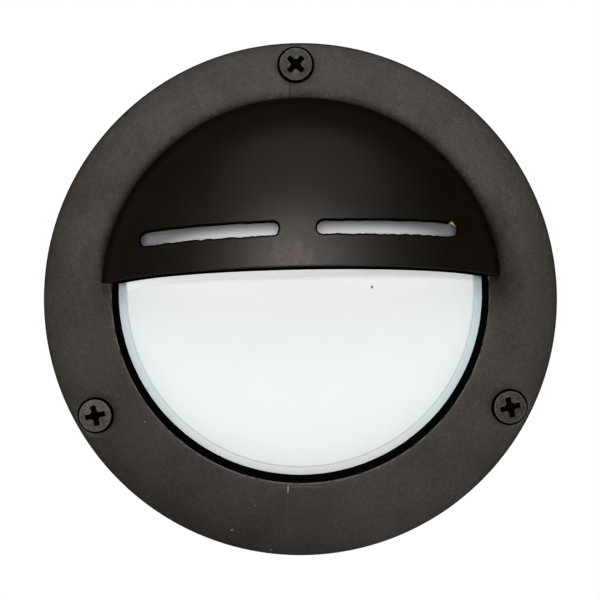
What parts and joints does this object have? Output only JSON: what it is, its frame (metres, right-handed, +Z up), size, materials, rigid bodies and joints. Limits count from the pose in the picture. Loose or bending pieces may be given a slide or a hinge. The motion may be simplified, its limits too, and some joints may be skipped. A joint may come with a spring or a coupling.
{
  "type": "hooded round wall light",
  "caption": "Round cast wall light with a slotted half-dome hood over a frosted lens, on a drum housing that holds a pin lamp, its holder and a terminal block.",
  "frame": {"origin": "centre of the wall face, on the back of the wall seal", "axes": "+Y into the wall, +Z up on the wall, +X to the right as seen from the front, which faces -Y"},
  "size_m": [0.1142, 0.0509, 0.1142],
  "materials": {
    "cast_bronze": "satin cast brass with a dark bronze patina",
    "hood_bronze": "satin brass with a dark bronze patina",
    "braze_metal": "rough dark braze",
    "screw_bronze": "bronzed brass with a bright worn rim",
    "black_rubber": "matt black rubber",
    "foam_rubber": "closed-cell foam rubber",
    "frosted_glass": "white frosted pressed glass",
    "spring_steel": "bright rolled spring steel",
    "zinc_steel": "zinc-plated steel",
    "white_enamel": "white enamelled sheet",
    "white_ceramic": "unglazed steatite ceramic",
    "lamp_plastic": "white moulded plastic",
    "board_white": "white solder mask on a metal board",
    "led_phosphor": "yellow phosphor",
    "pin_metal": "drawn wire",
    "block_plastic": "ivory moulded plastic",
    "terminal_brass": "bright turned brass",
    "lead_brown": "silicone sleeved wire",
    "lead_blue": "silicone sleeved wire"
  },
  "bodies": {
    "base": {"wall_seal": "foam_rubber", "housing": "cast_bronze", "cover_seal": "black_rubber", "cable_grommet": "black_rubber", "lamp_tray": "white_enamel", "tray_screws": "zinc_steel", "lampholder": "white_ceramic", "holder_screws": "zinc_steel", "terminal_block": "block_plastic", "terminal_screws": "terminal_brass", "terminal_fixing": "zinc_steel", "lead_live": "lead_brown", "lead_neutral": "lead_blue", "earth_washer": "terminal_brass", "earth_screw": "terminal_brass"},
    "face": {"face_ring": "cast_bronze", "hood": "hood_bronze", "hood_braze": "braze_metal", "lens_seal": "black_rubber", "lens": "frosted_glass", "lens_cushion": "black_rubber", "lens_clips": "spring_steel", "clip_screws": "zinc_steel", "screw_keepers": "spring_steel"},
    "top_screw": {"cover_screw_top": "screw_bronze"},
    "right_screw": {"cover_screw_right": "screw_bronze"},
    "left_screw": {"cover_screw_left": "screw_bronze"},
    "lamp": {"lamp_puck": "lamp_plastic", "lamp_board": "board_white", "lamp_leds": "led_phosphor", "lamp_pins": "pin_metal"}
  },
  "joints": [
    {"name": "face_pull", "type": "slide", "parent": "base", "child": "face", "axis": [0, -1, 0], "range_m": [0, 0.045]},
    {"name": "top_screw_turn", "type": "hinge", "parent": "face", "child": "top_screw", "pos_m": [0, -0.03, 0.0525], "axis": [0, 1, 0], "continuous": true},
    {"name": "right_screw_turn", "type": "hinge", "parent": "face", "child": "right_screw", "pos_m": [0.04627, -0.03, -0.02481], "axis": [0, 1, 0], "continuous": true},
    {"name": "left_screw_turn", "type": "hinge", "parent": "face", "child": "left_screw", "pos_m": [-0.04627, -0.03, -0.02481], "axis": [0, 1, 0], "continuous": true},
    {"name": "lamp_pull", "type": "slide", "parent": "base", "child": "lamp", "axis": [-1, 0, 0], "range_m": [0, 0.009]}
  ]
}
